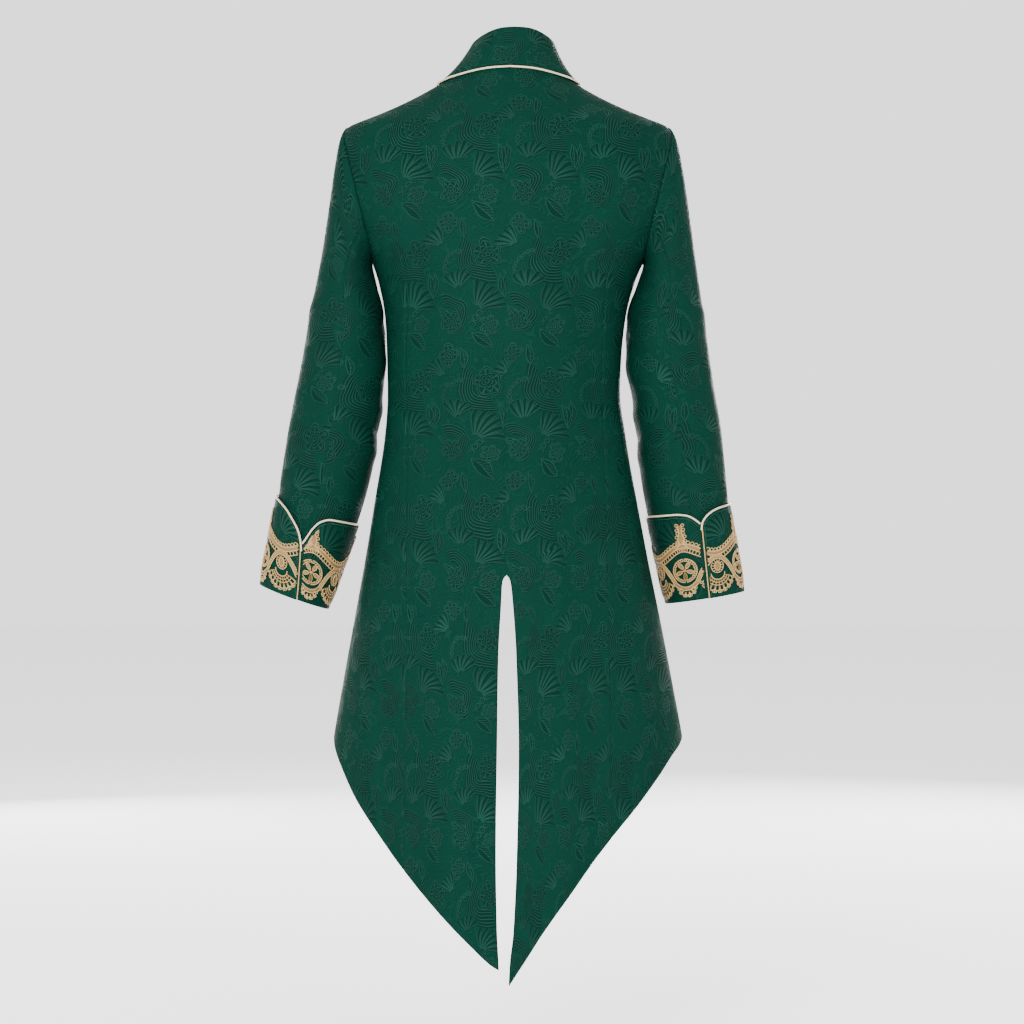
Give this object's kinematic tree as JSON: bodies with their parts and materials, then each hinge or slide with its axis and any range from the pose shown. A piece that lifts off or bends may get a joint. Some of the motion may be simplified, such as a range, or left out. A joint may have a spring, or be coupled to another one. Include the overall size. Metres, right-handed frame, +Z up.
{
  "type": "tailcoat suit jacket",
  "caption": "Long-tailed fitted jacket in floral brocade, worn hollow form, with fall collar, back vent, piping and lace-trimmed turned-back cuffs.",
  "frame": {"origin": "base of the wearer's neck, over the middle of the shoulders", "axes": "+Z up, +Y towards the back of the jacket, +X towards the wearer's left"},
  "size_m": [0.655, 0.2497, 1.2483],
  "materials": {
    "brocade": "tonal floral jacquard in dark green with a soft sheen",
    "lace": "matte gold corded lace",
    "satin": "ivory satin piping, glossy",
    "button": "plain domed buttons in antique gold metal"
  },
  "bodies": {
    "root": {"back_left": "brocade", "side_back_left": "brocade", "front_left": "brocade", "sleeve_upper_left": "brocade", "sleeve_under_left": "brocade", "cuff_left": "brocade", "cuff_piping_left": "satin", "lace_left_outer": "lace", "lace_left_inner": "lace", "back_right": "brocade", "side_back_right": "brocade", "front_right": "brocade", "sleeve_upper_right": "brocade", "sleeve_under_right": "brocade", "cuff_right": "brocade", "cuff_piping_right": "satin", "lace_right_outer": "lace", "lace_right_inner": "lace", "collar": "brocade", "collar_piping": "satin", "button_1": "button", "button_2": "button", "button_3": "button", "button_4": "button", "button_5": "button"}
  },
  "joints": []
}
